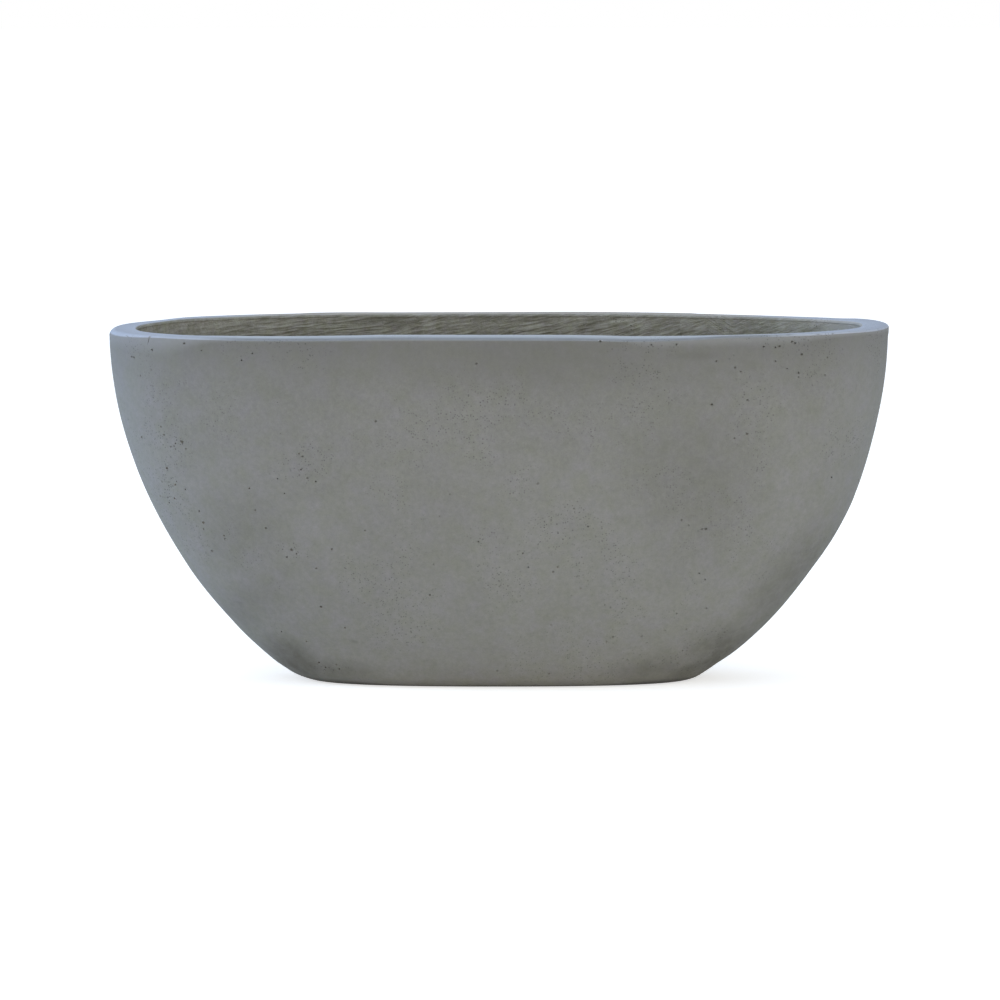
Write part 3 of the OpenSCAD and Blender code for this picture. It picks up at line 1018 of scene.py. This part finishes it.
def laidColours(spot):
    # hand-laid cement with sand showing: dark in the grooves as painted shade, pale on the ridges as painted
    # light
    x, y, z = split(spot)
    marks = effectOf("trowelMarks", spot)["Relief"]
    grain = effectOf("sandGrain", spot, onInside["grain"])
    patch = effectOf("cloudyTone", spot, onInside["patch"])
    depth = spread(marks, -0.75, 0.75, 0.0, 1.0, "LINEAR")
    paler = spread(x, concrete["palerFrom"], concrete["palerTo"], 0.0, concrete["palerBy"])
    colour = tint(paler, tint(depth, concrete["grooveShade"], concrete["ridge"]), concrete["ridge"])
    # painted light: the inside is brightened further below the rim, where less light reaches
    lower = spread(z, concrete["deepLightFrom"], concrete["deepLightTo"], 1.0, concrete["deepLightGain"])
    colour = scaled(vectorCalc("MULTIPLY", colour, patch["Hue"]), grain["Shade"] * patch["Shade"] * lower)
    # darker patches inside at the back, just under the rim
    darkerInside = patchMask(darkerInsidePatches, x, z, spread(y, *concrete["darkerInsideDepth"]))
    colour = tint(darkerInside, colour, concrete["stainAndShade"])
    # the rim's slurry has run down a little
    along = fromLeft(x)
    below = casting["height"] - z + marks * concrete["runRagged"]
    run = spread(below / (curveOf(along, slurryReach) * mm), 0.0, 1.0, 1.0, 0.0, "LINEAR")
    colour = tint(run * curveOf(along, slurryAmount), colour, concrete["slurry"])
    return colour, grain["Height"] + marks * concrete["strokeRelief"]


def toneOf(share, tones):
    # a colour ramp of greys
    ramp = addNode("ShaderNodeValToRGB", {"Fac": share})
    elements = ramp.color_ramp.elements
    for at, tone in tones[1:-1]:
        elements.new(at)
    for element, (at, tone) in zip(elements, tones):
        element.position = at
        element.color = (tone, tone, tone, 1)
    return Field(ramp.outputs["Color"])


def faceMaterial():
    material = openMaterial("concreteFace")
    spot = put("ShaderNodeTexCoord", None, "Object")
    x, y, z = split(spot)
    share, along, outwards = z / casting["height"], fromLeft(x), abs(x)
    front = fade(y, *concrete["frontDepth"])
    patch = effectOf("cloudyTone", spot, onFace["patch"])
    grain = effectOf("sandGrain", spot, onFace["grain"])
    extra = patchMask(prickPatches, x, z, front)
    pricks = effectOf("pinPricks", spot, dict(onFace["pricks"], Extra=extra))
    wear = effectOf("edgeWear", spot, dict(onFace["wear"], Edge=carriedBy("edge")))
    dust = effectOf("settledDust", spot, onFace["dust"])["Mask"]

    base = tint(fade(share, *concrete["footReach"], 0.3), concrete["face"], concrete["warmFoot"])
    # painted light brightens the face towards the foot and painted shade darkens it under the rim
    base = vectorCalc("MULTIPLY", vectorCalc("MULTIPLY", base, toneOf(share, paintedLightByHeight)), patch["Hue"])
    # the top of the wall is the smoothest, and a painted contact shadow darkens the foot where it meets the
    # ground
    shade = between(spread(share, *concrete["smoothTop"], 0.0, 0.4), patch["Shade"] * grain["Shade"], 1.0)
    contactShadowReach = spread(outwards, *concrete["contactShadowAlong"], *concrete["contactShadowUp"])
    # painted contact shadow along the lowest millimetres of the foot
    paintedContactShadow = spread(z, 0.8 * mm, contactShadowReach, 0.2, 1.0)
    base = scaled(base, shade * paintedContactShadow)

    # a few dark smears, and the stains with the painted shade among them
    flat = vectorCalc("MULTIPLY", spot, (1.0, 1.0, 2.2))
    smear = spread(cloud(flat, concrete["smearScale"], 3.0, 0.6), 0.66, 0.78) * concrete["smearAmount"]
    uneven = spread(cloud(spot, concrete["stainScale"], 3.0, 0.6), 0.3, 0.7, 0.7, 1.2)
    base = tint(smear + patchMask(stainsAndPaintedShade, x, z, front) * uneven, base, concrete["stainAndShade"])

    # painted sheen: under the top edge the wall is painted paler and bluer, most of all at the left end, and
    # round both ends as painted light
    reach = curveOf(along, paintedSheenReach) * mm
    paintedSheen = fade((casting["height"] - 3 * mm - z) / reach, 0.0, 1.0)
    paintedSheen = paintedSheen * spread(x, *concrete["paintedSheenAlong"], *concrete["paintedSheenAmount"])
    paintedEndLight = spread(outwards, *concrete["paintedEndLightAlong"], 0.0, concrete["paintedEndLight"])
    base = tint(larger(paintedSheen, paintedEndLight), base, concrete["paintedSheen"])
    # the struck top is pale, with a painted bluish sky reflection that is strongest round the ends and left off
    # at the back, where it is greyer; painted light makes it palest by its inner edge and painted shade darkens
    # it towards its rounded outer edge
    rim = tint(spread(y, *concrete["rimBackDepth"]), concrete["rim"], concrete["rimBack"])
    rim = tint(spread(outwards, *concrete["rimSkyReflectionAlong"]), rim, concrete["rimEndsSkyReflection"])
    # painted light at the rim's inner edge and painted shade towards its rounded outer edge, gentler round the
    # ends
    across = carriedBy("outer")
    falling = between(spread(outwards, *concrete["rimPaintedShadeAlong"]), curveOf(across, rimPaintedShade),
                      spread(across, 0.0, 1.0, 1.06, 0.92, "LINEAR"))
    base = tint(carriedBy("rim"), base, scaled(rim, shade * falling))
    base = tint(wear["Mask"], base, concrete["rimEdge"])
    # dust on up-facing surfaces; its pale blue is also a painted sky sheen
    base = tint(dust * concrete["dustAndSkySheenAmount"], base, concrete["dust"])

    # the hand-laid surface starts in a ragged line at the rim's inner edge
    laid, laidHeight = laidColours(spot)
    below = casting["height"] - z - cloud(spot, concrete["raggedScale"], 3.0, 0.6) * concrete["ragged"]
    rough = spread(carriedBy("handLaid"), 0.02, 0.14) * spread(below, 0.0, 1 * mm)
    base = tint(rough, base, laid)
    # the finest air holes are painted dark as the shade inside them
    base = tint(pricks["Mask"] * concrete["pitShadeAmount"], base, concrete["pitShade"])
    height = grain["Height"] + pricks["Height"] + laidHeight * rough
    return dress(material, {"Base Color": base, "Roughness": concrete["roughness"] - dust * 0.12,
                            "Specular IOR Level": 0.35}, height)


def backingMaterial():
    material = openMaterial("concreteBacking")
    spot = put("ShaderNodeTexCoord", None, "Object")
    colour, height = laidColours(spot)
    pricks = effectOf("pinPricks", spot, onInside["pricks"])
    dust = effectOf("settledDust", spot, onInside["dust"])["Mask"]
    colour = tint(dust, colour, concrete["innerDust"])
    # the finest air holes are painted dark as the shade inside them
    colour = tint(pricks["Mask"], colour, concrete["pitShade"])
    return dress(material, {"Base Color": colour, "Roughness": concrete["innerRoughness"] - dust * 0.1,
                            "Specular IOR Level": 0.25}, height + pricks["Height"])


# The stoppers' rubber, with a flange that wears at its rim and fine turned rings in its top
rubber = {
    "colour": (0.017, 0.017, 0.018), "scuff": (0.10, 0.10, 0.097), "dustColour": (0.20, 0.20, 0.185),
    "wearFrom": 19 * mm, "wearTo": 23.5 * mm, "ringPitch": 1.1 * mm, "ringHeight": 0.02, "roughness": 0.62,
    "wear": {"Size": 4 * mm, "Amount": 0.5}, "dust": {"Size": 9 * mm, "Amount": 0.5},
    "grain": {"Grain": 0.5 * mm, "Strength": 0.2, "Relief": 0.03}, "patch": {"Size": 20 * mm, "Strength": 0.2},
}


def rubberMaterial():
    material = openMaterial("plugRubber")
    spot = put("ShaderNodeTexCoord", None, "Object")
    x, y, _ = split(spot)
    # both stoppers share one pattern's centre: the distance from the nearer one's axis
    fromAxis = lengthOf(joined(abs(x) - casting["drainSpacing"] / 2, y, 0.0))
    edge = spread(fromAxis, rubber["wearFrom"], rubber["wearTo"])
    wear = effectOf("edgeWear", spot, dict(rubber["wear"], Edge=edge))
    dust = effectOf("settledDust", spot, rubber["dust"])["Mask"]
    grain, patch = effectOf("sandGrain", spot, rubber["grain"]), effectOf("cloudyTone", spot, rubber["patch"])
    colour = scaled(joined(*rubber["colour"]), grain["Shade"] * patch["Shade"])
    colour = tint(wear["Mask"], colour, rubber["scuff"])
    colour = tint(dust, colour, rubber["dustColour"])
    rings = calc("SINE", fromAxis * (2 * math.pi / rubber["ringPitch"]))
    return dress(material, {"Base Color": colour, "Roughness": rubber["roughness"] + dust * 0.4,
                            "Specular IOR Level": 0.5}, grain["Height"] + rings * rubber["ringHeight"])


# The mesh sheet inside the wall: strands of glass fibre soaked in cement
glassMesh = {
    "strand": (0.62, 0.64, 0.60), "cement": (0.21, 0.21, 0.19), "pitch": 5 * mm, "meanRadius": 0.26,
    "grain": {"Grain": 0.8 * mm, "Strength": 0.15, "Relief": 0.1}, "soak": {"Size": 50 * mm, "Strength": 0.15},
    "strandHeight": 0.4, "roughness": 0.7,
}


def meshMaterial():
    material = openMaterial("glassMesh")
    spot = put("ShaderNodeTexCoord", None, "Object")
    x, y, z = split(spot)
    warp, weft = (spread(calc("COSINE", place * (2 * math.pi / glassMesh["pitch"])), 0.1, 0.7)
                  for place in (angleOf(x, y) * glassMesh["meanRadius"], z))
    woven = larger(warp, weft)
    grain = effectOf("sandGrain", spot, glassMesh["grain"])
    soak = effectOf("cloudyTone", spot, glassMesh["soak"])
    colour = scaled(tint(woven, glassMesh["cement"], glassMesh["strand"]), grain["Shade"] * soak["Shade"])
    return dress(material, {"Base Color": colour, "Roughness": glassMesh["roughness"]},
                 woven * glassMesh["strandHeight"] + grain["Height"])


finishes = {"concrete_face": faceMaterial(), "concrete_backing": backingMaterial(),
            "plug_rubber": rubberMaterial(), "glass_mesh": meshMaterial()}
print("finishes made:", ", ".join(sorted(finishes)))

buildLoft()
loft = tree
chips = chipCutters()

# Each casting: its rings, the node it stands for, its finish, and what it asks of the loft for itself
for name, rings, node, slot, asked in (
        ("bowlFace", faceStations(), "face_coat", "concrete_face", {}),
        ("bowlBacking", backingStations(), "fibre_backing", "concrete_backing",
         {"Sides": 500, "Pit Density": 0.0})):
    piece = castPiece(name, rings, {"Chips": chips, "Material": finishes[slot], **asked})
    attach(piece, "bowl")
    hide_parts(node)
bpy.data.objects.remove(chips)

for node, slot in (("glass_scrim", "glass_mesh"), ("drain_plug_left", "plug_rubber"),
                   ("drain_plug_right", "plug_rubber")):
    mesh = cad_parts[node].data
    mesh.materials.clear()
    mesh.materials.append(finishes[slot])
print("pieces dressed")


# Linear colours and strengths. The floor and the sky look white to the eye, and light the casting as
# written here
studio = {
    "floorSize": 60.0,
    "floorColour": (0.84, 0.84, 0.82),
    "floorRoughness": 0.9,
    "floorGlow": 0.62,
    "zenith": (0.98, 1.16, 1.44),
    "horizon": (0.18, 0.18, 0.18),
    "zenithFrom": 0.45,
}

# Soft lamps, low enough to reach under the belly
lamps = {
    "sideLamp": {"place": (-4.0, 0.4, 1.2), "size": 2.0, "power": 72, "colour": (0.51, 0.72, 1.0)},
    "frontLamp": {"place": (0.6, -4.2, 0.7), "size": 3.0, "power": 80, "colour": (1.0, 0.92, 0.78)},
    "rightLamp": {"place": (4.0, -1.6, 0.8), "size": 3.0, "power": 44, "colour": (1.0, 1.0, 0.99)},
    "leftLamp": {"place": (-4.0, -1.2, 0.8), "size": 3.0, "power": 36, "colour": (0.92, 0.86, 0.96)},
}


def seenBy(*rays):
    # 1 for rays of these kinds
    kinds = fieldsOf(addNode("ShaderNodeLightPath"))
    return larger(*(kinds[f"Is {ray} Ray"] for ray in rays))


def makeFloor():
    bm = bmesh.new()
    bmesh.ops.create_grid(bm, x_segments=2, y_segments=2, size=studio["floorSize"] / 2)
    floor = addObject("floor", meshOf(bm, "floor"))
    material = openMaterial("studioFloor")
    floor.data.materials.append(dress(material, {
        "Base Color": (*studio["floorColour"], 1), "Roughness": studio["floorRoughness"],
        "Specular IOR Level": 0.0, "Emission Color": (1, 1, 1, 1),
        "Emission Strength": seenBy("Camera", "Glossy") * studio["floorGlow"]}))


def makeWorld():
    global tree
    world = bpy.data.worlds.new("studioSky")
    bpy.context.scene.world = world
    world.use_nodes = True
    tree = world.node_tree
    tree.nodes.clear()
    up = split(put("ShaderNodeTexCoord", None, "Generated"))[2]
    sky = tint(spread(up, studio["zenithFrom"], 1.0), studio["horizon"], studio["zenith"])
    light, white = (put("ShaderNodeBackground", {"Color": colour, "Strength": 1.0})
                    for colour in (sky, (1, 1, 1, 1)))
    mixed = put("ShaderNodeMixShader", {0: seenBy("Camera", "Glossy", "Transmission"), 1: light, 2: white})
    addNode("ShaderNodeOutputWorld", {"Surface": mixed})


def addLamp(name, spec):
    lamp = bpy.data.lights.new(name, "AREA")
    lamp.shape = "DISK"
    lamp.size = spec["size"]
    lamp.energy = spec["power"]
    lamp.color = spec["colour"]
    holder = addObject(name, lamp)
    holder.location = spec["place"]
    aim = Vector((0, 0, casting["height"] / 2))
    holder.rotation_euler = (aim - holder.location).to_track_quat("-Z", "Y").to_euler()


# The photograph's view, in degrees and metres
view = {"distance": 6.0, "elevation": 5.9, "yaw": -0.35, "roll": 0.07, "lens": 209.8, "aimRight": 0.8 * mm,
        "aimUp": 1.15 * mm}


def makeCamera():
    e, yaw, roll = (math.radians(view[k]) for k in ("elevation", "yaw", "roll"))
    level = Vector((math.sin(yaw), math.cos(yaw), 0))
    right = Vector((math.cos(yaw), -math.sin(yaw), 0))
    forward = level * math.cos(e) - Vector((0, 0, math.sin(e)))
    up = level * math.sin(e) + Vector((0, 0, math.cos(e)))
    right, up = right * math.cos(roll) - up * math.sin(roll), right * math.sin(roll) + up * math.cos(roll)
    data = bpy.data.cameras.new("photoView")
    data.sensor_width = 36
    data.lens = view["lens"]
    data.clip_end = 200
    camera = addObject("photoView", data)
    middle = Vector((0, 0, casting["height"] / 2)) + right * view["aimRight"] + up * view["aimUp"]
    turned = Matrix((right, up, -forward)).transposed().to_4x4()
    camera.matrix_world = Matrix.Translation(middle - forward * view["distance"]) @ turned
    bpy.context.scene.camera = camera


makeFloor()
makeWorld()
for name, spec in lamps.items():
    addLamp(name, spec)
makeCamera()
bpy.context.scene.view_settings.view_transform = "Standard"
print("floor, light and camera made")

bpy.context.view_layer.update()
